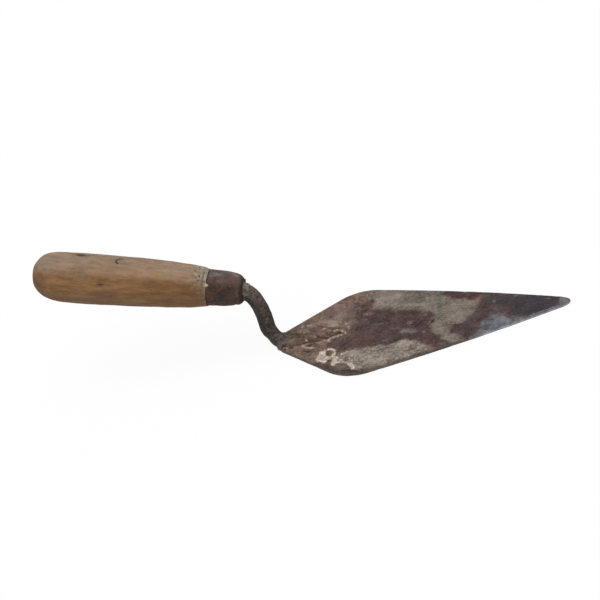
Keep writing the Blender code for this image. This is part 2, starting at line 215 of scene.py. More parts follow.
# The same on the tongue, which stands above the face.
TONGUE_MARKS = {
    "cream": (
        (0.6, -24.8, 1.9, 2.6, 0.5, -8), (0.4, -29.6, 2.6, 3, 0.5, -12),
        (0.4, -34.2, 4.2, 2.2, 0.7, -25), (0.5, -16.7, -0.6, 1, 1.7, 25), (0.65, -15.7, 3.8, 1.3, 1.2),
        (0.65, -9.7, -0.4, 0.9, 1.2), (0.6, -7.8, 1, 1.9, 0.7, -15), (0.6, -5.7, 0.5, 1, 0.9),
        (0.8, -5, -0.8, 0.7, 1.6, 20), (0.5, -20.6, -3.5, 1.3, 1), (0.5, -25.2, -5.4, 1, 1.2),
        (0.5, -27.6, -7.6, 1.1, 1), (0.4, -30.5, -1.5, 0.8, 1), (0.5, -23, -2.6, 1.6, 0.5),
        (0.5, -12.4, 1.2, 1.4, 0.5),
    ),
    "soot": (
        (2, -23.3, -6.4, 2.5, 1.3), (1, -25.6, -7.2, 1.2, 0.9), (0.5, -30, -7.4, 2, 0.9),
        (1, -36.9, 3, 1.6, 0.7, -25), (0.8, -31.2, 0.9, 3.2, 0.7, -12),
        (0.8, -33.9, -2.2, 1.9, 0.7, -8), (1.1, -17.4, -4.4, 1.8, 0.8, -25),
        (1.2, -14.2, -5.2, 2, 0.7, -8), (1.2, -9.6, -4, 2.6, 0.6, 22), (1, -7.2, -1.8, 1.8, 0.9, 10),
        (0.8, -12.4, -3, 1.8, 1), (0.6, -18.7, -3.1, 1.2, 1), (0.7, -21, 2.6, 2, 0.6),
        (1.2, -38, -8.6, 1, 1.4), (0.8, -35.4, -7.6, 1.4, 0.8), (0.6, -26, -0.4, 2.4, 0.6, -10),
        (0.9, -40.9, 1, 1.2, 2), (0.8, -38.8, -3.4, 0.7, 1.6, 20),
    ),
    "mauve": (
        (1.1, -19.9, -0.7, 2.4, 2.2), (0.8, -14.8, 1.6, 2, 1.4), (0.8, -16.9, -2.4, 2.2, 0.8),
        (0.6, -21, 5, 2.4, 1.6), (0.6, -22, -4.6, 1.4, 0.8), (0.7, -28.2, -3.8, 1.6, 0.9),
    ),
    "red": (
        (1.1, -29, -6.3, 2.4, 1.6), (0.8, -30.2, -4.4, 2, 1.6), (0.7, -17.4, -4.2, 2.6, 1, -20),
        (0.6, -24.6, -2, 3, 1.4),
    ),
    "haze": (
        (0.8, -16.3, -1.6, 1.2, 0.7), (1, -37.3, -5.4, 1.5, 1.2), (1, -39.4, -1.2, 1.1, 1.8),
        (0.6, -18.4, 2, 0.8, 1.6, 20), (0.7, -39.6, -7, 1.4, 0.9), (0.6, -37, 0.6, 1, 0.8),
        (0.5, -28.4, -3.8, 1, 0.6),
    ),
    "tan": (
        (1, -27.6, 4.7, 4.2, 1.4, -10), (0.6, -18.3, 2.8, 3.5, 1.2, -8), (0.7, -9.2, 1, 3, 1),
    ),
    "yellow": (
        (0.55, -33.3, -4.9, 2.4, 0.9), (0.35, -26.5, 0.6, 3, 0.6, -8),
    ),
    "green": (
        (1.1, -33.8, -3.6, 2.8, 2.2), (0.9, -34, -6.4, 2.2, 1.2), (0.8, -26, -1.8, 5, 0.9, -8),
        (0.9, -34.5, 1, 3, 1.8, -10),
    ),
}

# Shank.
SHANK_VOXEL = 0.3
SINK = 1.2                  # height down to which the tongue reaches into the blade
BEAD_INSET = (0.4, -4.6, 1.5)       # bead at the heel: x from the blade's end, y and z
BEAD_AXES = (2.7, 4.4, 1.45)
NECK_SHIFT = 0.65           # how far the upright part stands nearer the tip than in the CAD
NECK_FOOT = (11.0, 20.0)    # heights between which the shift starts
NECK_HEAD = (24.0, 30.0)    # and ends
HEEL_BEND = (0.6, 5.8, 1.9)         # hollow in the outer bend: depth, height, reach
FAR_FOOT = (-38.3, 5.4, 3.4, 2.6)   # sunken far corner of the foot: place and half axes
FAR_FOOT_DROP = 1.5
MORTAR_HOLE = (-49.6, -3.6, 38.2)   # bare place in the mortar packed behind the ferrule
MORTAR_HOLE_SIZE = 1.2
PAINTED_SHADE_FACING = (-0.55, -0.15, -0.80)    # way that the side darkened with painted shade faces

# Ferrule and handle. Distances along them start at the ferrule's mouth, in front.
FERRULE_WALL = 0.85
FERRULE_COLUMNS = 216
FERRULE_STEP = 0.25
FERRULE_RIM = 0.12          # rounding at the back end
FERRULE_LIP = ((0.0, FERRULE_WALL), (-0.18, 0.55), (-0.15, 0.2))    # distance, depth below skin
FERRULE_CHIP = (-0.6, 55.0, 1.0, 1.6)       # from the back end: distance, angle, half axes
FERRULE_GREY = (            # strength, distance behind the mouth, angle, half length and width
    (1, 13.6, 80, 3.4, 1.5), (0.9, 3.6, 90, 1.7, 1.3), (0.6, 5.8, 40, 0.8, 0.6),
    (0.7, 16.6, 70, 1.4, 1.6), (0.5, 12, 55, 2.2, 1), (0.5, 2.4, 20, 0.9, 2.4), (0.8, 9, 110, 6, 3),
    (0.5, 11, 200, 4, 4), (0.5, 5, 270, 3, 4),
)
FERRULE_RED = (
    (1, 15, 55, 1.9, 1.6), (0.9, 8.6, 68, 2.4, 1.8), (0.8, 5.4, 2, 3, 2.6), (0.8, 4.6, 62, 1.8, 1.6),
    (0.7, 15.5, -4, 1.6, 2.2), (0.6, 9, -22, 2.4, 1.4), (0.8, 13, 230, 3, 3), (0.7, 8, 160, 3, 3),
    (0.7, 6, 310, 3, 3),
)
FERRULE_OLIVE = (
    (1, 15.8, 24, 2.3, 1), (0.8, 12.6, 38, 2.6, 0.9), (0.8, 8.8, 92, 2, 1), (0.6, 7, 22, 2.6, 0.8),
    (0.8, 4.5, -28, 4, 1.6), (0.6, 14, -30, 3, 1.4), (0.7, 14, 140, 3, 2), (0.7, 6, 220, 3, 2),
)
FERRULE_PURPLE = (
    (1, 10.4, 10, 2.4, 3), (0.7, 16.6, -14, 1.8, 3), (0.6, 10.5, -40, 4, 2), (0.6, 12, 290, 4, 3),
    (0.6, 9, 180, 3, 2),
)
HANDLE_COLUMNS = 224
HANDLE_STEP = 0.42
TENON_RADIUS = 8.5
TENON_GAP = 0.1
SHOULDER_RADII = (8.6, 9.3, 9.9)
BORE = (                    # hole for the tang: distance, radius
    (64.0, 0.0), (64.0, 3.3), (6.9, 4.1), (6.8, 4.8), (2.8, 4.8), (2.4, 3.4),
)
NOSE = 0.9                  # distance of the tenon's front face
NOSE_ROWS = 10
TENON_ROWS = 14
BOW = (0.18, 52.0, 20.0)    # rise of the grip's middle: height, distance, reach
BUTT_SWELL = (0.95, 110.0, 6.5)     # fuller top of the butt, the same
DENT = (88.7, 98.0, 2.3, 1.5)       # distance, angle, half length, half width
HOOK = (66.0, 84.0)         # middle of a hooked scratch: distance, angle
HOOK_LINE = (2.2, 0.70)     # its radius and half width
HOOK_SMUDGES = ((0.35, 65.5, 82.0, 1.6, 1.3), (0.5, 62.5, 76.0, 2.6, 0.45))
CRACK = (86.5, 99.0, 8.0, 0.45)     # it and its branch waver as they run along
BRANCH = (93.0, 104.0, 4.0, 0.25)
STAINS = ((1, 66.0, 84.0, 6.0, 3.0), (0.7, 88.0, 92.0, 7.0, 3.0))
LIFTED_LIP = (0.5, 37.0, 1.1, 0.9)  # splinter: distance behind the ferrule, angle, half axes
FILLING_LUMP = (70.0, 9.0, 3.0)     # in the ferrule's mouth: angle, half axes
GROOVE = 20.6               # cut in the upper side behind the ferrule
HANDLE_RINGS = (            # turned lines: distance behind the mouth, depth
    (21, 0.12), (22.2, 0.10), (23.4, 0.12), (24.9, 0.08), (26.4, 0.06), (28.3, 0.05),
)
HANDLE_SPECKS = (           # strength, distance, angle, half length, half width
    (0.95, 74.6, 21, 2, 1.2), (0.4, 76.5, 20, 1, 0.4), (0.5, 28.5, 88, 1.4, 0.6),
    (0.6, 24.7, 76, 1.5, 0.8), (0.5, 22.9, 66, 0.9, 1.3), (0.5, 25.8, 61, 1.3, 0.7),
    (0.4, 27, 70, 1.2, 0.5), (0.4, 73, 14, 0.6, 0.4), (0.4, 50, 6, 2, 0.4), (0.4, 41, -4, 3, 0.4),
    (0.4, 47, -8, 2, 0.4), (0.4, 62, 2, 3, 0.4),
)


# ---------------------------------------------------------------- fields

def coordinates(mesh):
    """Points of a mesh as rows of millimetres."""
    flat = np.empty(len(mesh.vertices) * 3, np.float32)
    mesh.vertices.foreach_get("co", flat)
    return flat.reshape(-1, 3).astype(float) / MM


def lumps(points, size, seed, octaves=4, stretch=1.0):
    """Fractal noise, about -1 to 1, at each point. Its lumps have a size in millimetres, and a
    stretch along z."""
    shift = Vector((31.7 * seed, 17.3 * seed, 7.9 * seed))
    scaled = points / (size * np.array((1.0, 1.0, stretch)))
    return np.array([noise.fractal(Vector(p) + shift, 0.85, 2.0, octaves) for p in scaled]) * 1.6


def smooth(value, low, high):
    """0 below low, 1 above high, and a smooth step between."""
    part = np.clip((value - low) / (high - low), 0.0, 1.0)
    return part * part * (3.0 - 2.0 * part)


def fade(value, low, high):
    """1 below low, 0 above high, and a smooth step between."""
    return 1.0 - smooth(value, low, high)


def bell(value, middle, reach):
    """1 at a middle value, falling to about a third at a reach from it."""
    return np.exp(-((value - middle) / reach) ** 2)


def peaks(points, size, seed, level):
    """Fractal noise where it is above a level, and 0 elsewhere."""
    return np.maximum(lumps(points, size, seed) - level, 0.0)


def side_distance(points, outline):
    """Distance from each flat point to the nearest side of a closed outline."""
    nearest = np.full(len(points), np.inf)
    for start, end in zip(outline, np.roll(outline, -1, axis=0)):
        side = end - start
        part = np.clip((points - start) @ side / max(side @ side, 1e-9), 0.0, 1.0)
        offset = points - start - part[:, None] * side
        nearest = np.minimum(nearest, np.hypot(offset[:, 0], offset[:, 1]))
    return nearest


def patch(points, corners):
    """Distance inside a closed outline at each flat point, negative outside."""
    outline = np.array(corners, float)
    inside = np.zeros(len(points), bool)
    for (x0, y0), (x1, y1) in zip(outline, np.roll(outline, -1, axis=0)):
        if y0 != y1:
            crossing = x0 + (points[:, 1] - y0) / (y1 - y0) * (x1 - x0)
            inside ^= ((y0 > points[:, 1]) != (y1 > points[:, 1])) & (points[:, 0] < crossing)
    distance = side_distance(points, outline)
    return np.where(inside, distance, -distance)


def spot(points, x, y, half_length, half_width, turn=0.0):
    """Soft spot of 1 at its middle, falling to about a third at its half axes."""
    angle = math.radians(turn)
    along = (points[:, 0] - x) * math.cos(angle) + (points[:, 1] - y) * math.sin(angle)
    across = (points[:, 1] - y) * math.cos(angle) - (points[:, 0] - x) * math.sin(angle)
    return np.exp(-(along / half_length) ** 2 - (across / half_width) ** 2)


def spots(points, table):
    """Sum of soft spots, each with its own strength first."""
    return sum(strength * spot(points, *place) for strength, *place in table)


def wander(flat, broad, fine):
    """Flat places moved a little by broad and by fine noise, which frays what lies on them."""
    drift = np.column_stack([lumps(flat, 5.0, 1), lumps(flat, 5.0, 2)])
    small = np.column_stack([lumps(flat, 1.5, 3), lumps(flat, 1.5, 4)])
    return flat[:, :2] + broad * drift + fine * small


def hull(points):
    """Corners of the convex outline round flat points."""
    order = geometry.convex_hull_2d([tuple(p) for p in points])
    return np.array([points[index] for index in order])


# ---------------------------------------------------------------- meshes

def new_object(name, data):
    """Object of a mesh, lamp or camera, put in the scene."""
    item = bpy.data.objects.new(name, data)
    bpy.context.scene.collection.objects.link(item)
    return item


def add_piece(name, points, faces, fields):
    """Makes a piece from millimetre points, keeps its fields on it, and ties it to the CAD."""
    mesh = bpy.data.meshes.new(name)
    mesh.from_pydata((points * MM).tolist(), [], faces)
    for field, values in fields.items():
        values = np.asarray(values, np.float32)
        kind, key = ("FLOAT_VECTOR", "vector") if values.ndim == 2 else ("FLOAT", "value")
        mesh.attributes.new(field, kind, "POINT").data.foreach_set(key, values.ravel())
    work = bmesh.new()
    work.from_mesh(mesh)
    bmesh.ops.remove_doubles(work, verts=work.verts, dist=WELD)
    bmesh.ops.recalc_face_normals(work, faces=work.faces)
    work.to_mesh(mesh)
    work.free()
    mesh.shade_smooth()
    piece = new_object(name, mesh)
    node = name.split("_")[0]
    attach(piece, "root")
    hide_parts(node)
    return piece


def band_faces(rows, closed=True):
    """Quads between rows of point numbers that follow each other, as open rows or rings."""
    faces = []
    for first, second in zip(rows, rows[1:]):
        quads = np.column_stack([first, np.roll(first, -1), np.roll(second, -1), second])
        faces += (quads if closed else quads[:-1]).tolist()
    return faces


# ---------------------------------------------------------------- blade

BLADE_POINTS = coordinates(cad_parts["blade"].data)
OUTLINE = hull(BLADE_POINTS[:, :2])
BLADE_TOP = BLADE_POINTS[:, 2].max()
SHANK_POINTS = coordinates(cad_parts["shank"].data)
TONGUE = hull(SHANK_POINTS[SHANK_POINTS[:, 2] < TONGUE_TOP][:, :2])


def blade_grid():
    """Flat points of one face of the blade, row by row from heel to tip."""
    left = OUTLINE[OUTLINE[:, 1] > -0.01]
    left = left[np.lexsort((left[:, 1], left[:, 0]))]
    heel, tip = left[0, 0], left[-1, 0]
    inset = np.array([0.01, 0.08, 0.22])
    stations = np.concatenate([heel + inset, np.linspace(heel + 0.5, tip - 0.5, STATIONS),
                               tip - inset[::-1]])
    width = np.interp(stations, left[:, 0], left[:, 1])
    width = width + EDGE_GROWTH * smooth(width, 0.0, 3.0)
    width = width * (1 - TIP_NARROWING * smooth(stations, WORN_TIP[1], tip))
    stations = stations + TIP_GROWTH * smooth(stations, WORN_TIP[0], tip)
    track = np.column_stack([stations, np.zeros(len(stations)), np.zeros(len(stations))])
    border = np.minimum(EDGE_ROUND, 0.3 * width)
    rows = []
    for side in (-1, 1):
        nicks = 0.10 * peaks(track, 5.0, 40 + side, 0.0)
        nicks += 0.12 * smooth(lumps(track, 1.6, 43 + side), 0.45, 0.9)
        edge = width - nicks * smooth(width, 0.5, 3.0)
        half = [edge - border + border * (1 - step / EDGE_ROUND) for step in EDGE_STEPS]
        inner = np.linspace(0.0, 1.0, HALF_ROWS)[1 if side > 0 else 0:-1]
        half = [(edge - border) * part for part in inner] + half
        rows.append([side * y for y in half])
    across = np.array(rows[0][::-1] + rows[1])
    points = np.zeros((len(stations), len(across), 3))
    points[:, :, 0] = stations[:, None]
    points[:, :, 1] = across.T
    return points


def rounding(edge):
    """How far the rounded edge falls below the face, at a distance in from the outline."""
    inward = EDGE_ROUND - np.clip(edge, 0.0, EDGE_ROUND)
    return EDGE_ROUND - np.sqrt(EDGE_ROUND ** 2 - inward ** 2)


def weathering(flat, table):
    """Marks of a table on flat places, and scattered cream and soot towards the heel."""
    shifted = wander(flat, 0.25, 0.3)
    fields = {name: spots(shifted, table[name]) if name in table else np.zeros(len(flat))
              for name in FACE_MARKS}
    heel = fade(flat[:, 0], -6.0, 2.0)
    fields["cream"] *= 0.95 + 0.35 * lumps(flat, 1.1, 8)
    fields["cream"] += 0.28 * heel * peaks(flat, 2.2, 5, 0.15)
    fields["soot"] += 0.55 * heel * peaks(flat, 2.6, 6, 0.2)
    return fields


def face_fields(flat, edge):
    """Fields of the blade's face: rust, mortar film, crust, bare steel and marks."""
    shifted = wander(flat, 0.9, 0.5)
    gradual = 0.22 + 0.78 * smooth(shifted[:, 0], 1.0, 8.0)
    rust = np.maximum.reduce([
        patch(shifted, MAIN_RUST) * gradual, patch(shifted, HEEL_RUST), patch(shifted, FAR_RUST),
        patch(shifted, TIP_RUST), patch(shifted, CORNER_RUST)])
    fields = weathering(flat, FACE_MARKS)
    fields["crust"] += 0.34 * lumps(flat, 1.3, 7) - 0.42 - 0.5 * fade(fields["crust"], 0.0, 0.25)
    fields["ridge"] = spot(flat, *RIDGE)
    corner_side = smooth(flat[:, 0], 4.0, 12.0) * fade(flat[:, 0], 46.0, 54.0)
    corner_side *= fade(flat[:, 1], -10.0, -5.0)
    reach = 0.8 + 1.5 * corner_side
    worn = smooth(flat[:, 0], 56.0, 70.0) * fade(flat[:, 1], -2.0, 3.0)
    fields["grime"] = fade(edge, 0.3 * reach, reach) * (1.0 - worn)
    tip = smooth(flat[:, 0] + 0.8 * lumps(flat, 5.0, 1), 107.5, 110.5)
    fields["worn"] = np.maximum(fade(edge, 0.5, 1.6) * worn, tip)
    fields["rust"] = rust
    fields["pale"] = patch(shifted, PALE_BAND) + 1.4
    fields["film"] = patch(shifted, NEAR_FILM) + 0.8
    fields["bare"] = patch(shifted, BARE_STEEL)
    return fields


def underside_fields(flat, edge):
    """The same fields for the underside, which slides over the work and is more worn."""
    broad = lumps(flat, 22.0, 11)
    fields = {name: np.zeros(len(flat)) for name in (*FACE_MARKS, "ridge", "worn")}
    fields["crust"] -= 1.0
    fields["cream"] = peaks(flat, 3.0, 13, 0.55)
    fields["soot"] = peaks(flat, 8.0, 14, 0.3)
    fields["red"] = peaks(flat, 16.0, 15, 0.0)
    fields["haze"] = peaks(flat, 4.0, 19, 0.35)
    fields["blue"] = np.maximum(-broad, 0.0)
    fields["grime"] = fade(edge, 0.3, 1.0)
    fields["rust"] = 4.0 * (broad + 0.5 * lumps(flat, 9.0, 12) - 0.05)
    fields["pale"] = 5.0 * (lumps(flat, 15.0, 16) - 0.35)
    fields["film"] = 5.0 * (lumps(flat, 13.0, 17) - 0.6)
    fields["bare"] = 5.0 * (lumps(flat, 19.0, 18) - 0.3)
    return fields


def joint_fillet(flat):
    """Height of the dirt and rust packed along the foot of the tongue."""
    height, reach = FILLET
    return height * bell(np.minimum(patch(flat[:, :2], TONGUE), 0.0), 0.0, reach)


def face_height(flat, fields):
    """Relief of the blade's upper face above the bare sheet."""
    scale = smooth(fields["rust"], -0.4, 0.5)
    film = np.maximum(smooth(fields["film"], -0.5, 0.6), 0.6 * smooth(fields["pale"], -0.5, 0.6))
    crust = smooth(fields["crust"], -0.1, 0.5)
    grain = lumps(flat, 1.2, 21)
    height = 0.035 * lumps(flat, 6.0, 22)
    height += scale * (0.05 + 0.045 * lumps(flat, 1.9, 23) + 0.02 * grain)
    height += film * (0.07 + 0.035 * grain)
    height += crust * (0.30 + 0.28 * np.abs(lumps(flat, 1.8, 24)) + 0.10 * grain)
    height += 0.22 * smooth(fields["cream"], 0.3, 1.0) * (0.6 + 0.4 * grain)
    height -= 0.20 * smooth(fields["soot"], 0.4, 1.1)
    height += 0.45 * smooth(fields["ridge"], 0.2, 0.9)
    height -= 0.10 * smooth(lumps(flat, 1.1, 25), 0.5, 0.9) * scale
    return height + joint_fillet(flat)


def make_blade():
    grid = blade_grid()
    stations, rows = grid.shape[:2]
    flat = grid.reshape(-1, 3)
    edge = side_distance(flat[:, :2], np.vstack([grid[:, 0, :2], grid[::-1, -1, :2]]))
    upper = face_fields(flat, edge)
    lower = underside_fields(flat, edge)
    away = smooth(edge, 0.2, 1.2)

    top = flat.copy()
    top[:, 2] = BLADE_TOP - rounding(edge) + face_height(flat, upper) * away
    bottom = flat.copy()
    pits = 0.05 * smooth(lumps(flat, 1.3, 31), 0.2, 0.9) + 0.03 * smooth(lumps(flat, 5.0, 32), -1, 1)
    bottom[:, 2] = rounding(edge) + pits * away

    numbers = np.arange(stations * rows).reshape(stations, rows)
    loop = np.concatenate([numbers[:-1, 0], numbers[-1, :-1], numbers[:0:-1, -1],
                           numbers[0, :0:-1]])
    rim = [top[loop] * part + bottom[loop] * (1 - part)
           for part in np.linspace(1.0, 0.0, RIM_ROWS + 2)[1:-1]]
    points = np.vstack([top, bottom, *rim])
    rim_source = np.tile(loop, RIM_ROWS)
    fields = {name: np.concatenate([upper[name], lower[name], upper[name][rim_source]])
              for name in upper}
    fields["rim"] = np.concatenate([np.zeros(2 * len(flat)), np.ones(len(rim_source))])
    fields["place"] = points

    rings = 2 * len(flat) + np.arange(len(rim_source)).reshape(RIM_ROWS, -1)
    faces = band_faces(numbers, closed=False) + band_faces(numbers + len(flat), closed=False)
    faces += band_faces([loop, *rings, loop + len(flat)])
    fields.pop("ridge")
    return add_piece("blade_worn", points, faces, fields)


# ---------------------------------------------------------------- handle line

FERRULE_POINTS = coordinates(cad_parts["ferrule"].data)
HANDLE_POINTS = coordinates(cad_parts["handle"].data)
FERRULE_MIDDLE = FERRULE_POINTS.mean(axis=0)
BUTT = HANDLE_POINTS[np.argmax(np.linalg.norm(HANDLE_POINTS - FERRULE_MIDDLE, axis=1))]
AXIS = (BUTT - FERRULE_MIDDLE) / np.linalg.norm(BUTT - FERRULE_MIDDLE)
MOUTH = FERRULE_MIDDLE + AXIS * ((FERRULE_POINTS - FERRULE_MIDDLE) @ AXIS).min()
NEAR = np.array([0.0, -1.0, 0.0])
UP = np.cross(AXIS, NEAR)
FERRULE_END = ((FERRULE_POINTS - MOUTH) @ AXIS).max()


def turned_profile(points, start):
    """Distances behind the mouth and outer radii of a turned CAD solid, past a start."""
    along = (points - MOUTH) @ AXIS
    radius = np.linalg.norm(points - MOUTH - along[:, None] * AXIS, axis=1)
    shown = along > start
    corners = hull(np.column_stack([along, radius])[shown])
    corners = corners[np.argsort(corners[:, 0])]
    limit = np.interp(corners[:, 0], corners[[0, -1], 0], corners[[0, -1], 1])
    return corners[corners[:, 1] > limit - 0.01]


def smooth_curve(knots, step):
    """Catmull-Rom curve through knots, sampled about every step."""
    knots = np.array(knots, float)
    padded = np.vstack([2 * knots[0] - knots[1], knots, knots[-2] * (1, -1)])
    samples = []
    for index in range(1, len(padded) - 2):
        before, start, end, after = padded[index - 1:index + 3]
        count = max(1, round(np.linalg.norm(end - start) / step))
        for t in np.arange(count) / count:
            samples.append(0.5 * (2 * start + (end - before) * t
                                  + (2 * before - 5 * start + 4 * end - after) * t ** 2
                                  + (3 * start - before - 3 * end + after) * t ** 3))
    samples.append(knots[-1])
    return np.array(samples)


def height_of(angle):
    """1 at the top of a turned surface, 0 at its sides and -1 at the bottom."""
    return np.sin(np.radians(angle))


def turned_table(profile, columns):
    """Distances, radii and angles of a turned surface, a row for each profile point."""
    angle = np.tile(np.arange(columns) * 360.0 / columns, (len(profile), 1))
    along = np.repeat(profile[:, :1], columns, axis=1)
    radius = np.repeat(profile[:, 1:], columns, axis=1)
    return along, radius, angle


def local_place(along, radius, angle):
    """Millimetre coordinates in the handle's own frame, for grain that follows it."""
    turn = np.radians(angle)
    return np.column_stack([(radius * np.cos(turn)).ravel(), (radius * np.sin(turn)).ravel(),
                            along.ravel()])


def on_axis(along, radius, angle):
    """The same points in the CAD's frame; angle 0 is the near side, 90 the top."""
    return MOUTH + local_place(along, radius, angle) @ np.array([NEAR, UP, AXIS])


def signed(angle):
    """An angle brought between -180 and 180 degrees."""
    return (angle + 180.0) % 360.0 - 180.0


def from_mark(along, radius, angle, mark_along, mark_angle):
    """Offsets along and round a turned surface from a mark, in millimetres."""
    return along - mark_along, np.radians(signed(angle - mark_angle)) * radius


def mark(along, radius, angle, mark_along, mark_angle, half_length, half_width):
    """Soft spot on a turned surface."""
    forward, round_it = from_mark(along, radius, angle, mark_along, mark_angle)
    return np.exp(-(forward / half_length) ** 2 - (round_it / half_width) ** 2)


# ---------------------------------------------------------------- ferrule

def ferrule_profile():
    """Profile over the skin, round the back end and back inside, and its rows of skin."""
    outer = turned_profile(FERRULE_POINTS, -0.1)
    along = np.arange(0.0, outer[-1, 0], FERRULE_STEP)
    radius = np.interp(along, outer[:, 0], outer[:, 1])
    skin = np.column_stack([along, radius])
    end, end_radius = outer[-1]
    rim = [(end, end_radius - FERRULE_RIM), (end, end_radius - FERRULE_WALL)]
    lining = np.column_stack([along, radius - FERRULE_WALL])[::-6]
    lip = [(distance, radius[0] - depth) for distance, depth in FERRULE_LIP]
    return np.array([*skin, *rim, *lining, *lip]), len(skin)


def make_ferrule():
    profile, skin = ferrule_profile()
    along, radius, angle = turned_table(profile, FERRULE_COLUMNS)
    place = local_place(along, radius, angle)
    shape = along.shape
    outside = np.zeros(shape)
    outside[:skin] = 1.0
    scale, fine, broad = (lumps(place, size, seed).reshape(shape)
                          for size, seed in ((2.6, 51), (0.9, 52), (9.0, 53)))
    back = smooth(along, FERRULE_END - 4.5, FERRULE_END - 0.6) * outside
    front = fade(along, 0.0, 3.0)
    upper = smooth(height_of(angle), -0.2, 0.6)
    turned_in = np.clip(1.0 - along / 1.3, 0.0, 1.0) * outside * upper
    radius = radius - 0.7 * (1.0 - np.sqrt(1.0 - turned_in ** 2 * 0.96))
    radius = radius + 0.8 * fade(along, 0.5, 4.0) * smooth(along, -0.1, 0.0) * (1.0 - upper)
    radius = radius + outside * (0.07 * scale + 0.035 * fine + 0.06 * broad - 0.05)
    radius -= outside * 0.14 * smooth(fine, 0.4, 0.9)
    along = along + back * 0.45 * broad + 0.15 * front * scale
    radius -= 0.25 * mark(along - FERRULE_END, radius, angle, *FERRULE_CHIP) * outside
    points = on_axis(along, radius, angle)
    numbers = np.arange(along.size).reshape(shape)
    faces = band_faces([*numbers, numbers[0]])

    def sum_of(table):
        return sum(strength * mark(along, radius, angle, *each)
                   for strength, *each in table).ravel()

    fields = {
        "place": place, "grey": sum_of(FERRULE_GREY), "red": sum_of(FERRULE_RED),
        "olive": sum_of(FERRULE_OLIVE), "purple": sum_of(FERRULE_PURPLE),
        # painted shade: the rounded front end of the tube is marked for a dark band
        "mouth": fade(along, 0.5, 1.5).ravel(),
        # painted sheen: the top of the tube is marked to be lighter, as if lit from above
        "above": smooth(height_of(angle), 0.45, 1.0).ravel(),
    }
    return add_piece("ferrule_rusted", points, faces, fields)


# ---------------------------------------------------------------- handle

def handle_profile():
    """Profile from the bore's bottom, over tenon and grip, to the butt, and its hidden rows."""
    grip = turned_profile(HANDLE_POINTS, FERRULE_END + 0.2)
    grip = grip[np.concatenate([[True], np.diff(grip[:, 0]) > 0.3])]
    outer = smooth_curve([*grip[:-1], (grip[-1, 0], 0.0)], HANDLE_STEP)
    ferrule = turned_profile(FERRULE_POINTS, -0.1)
    along = np.linspace(0.7, outer[0, 0] - 0.3, TENON_ROWS)
    radius = np.interp(along, ferrule[:, 0], ferrule[:, 1]) - FERRULE_WALL - TENON_GAP
    tenon = np.column_stack([along, np.minimum(radius, TENON_RADIUS)])
    nose = [(NOSE, radius) for radius in np.linspace(BORE[-1][1], tenon[0, 1] - 0.3, NOSE_ROWS)]
    hidden = [*BORE, *nose, *tenon]
    shoulder = [(outer[0, 0], radius) for radius in SHOULDER_RADII]
    return np.array([*hidden, *shoulder, *outer]), len(hidden)


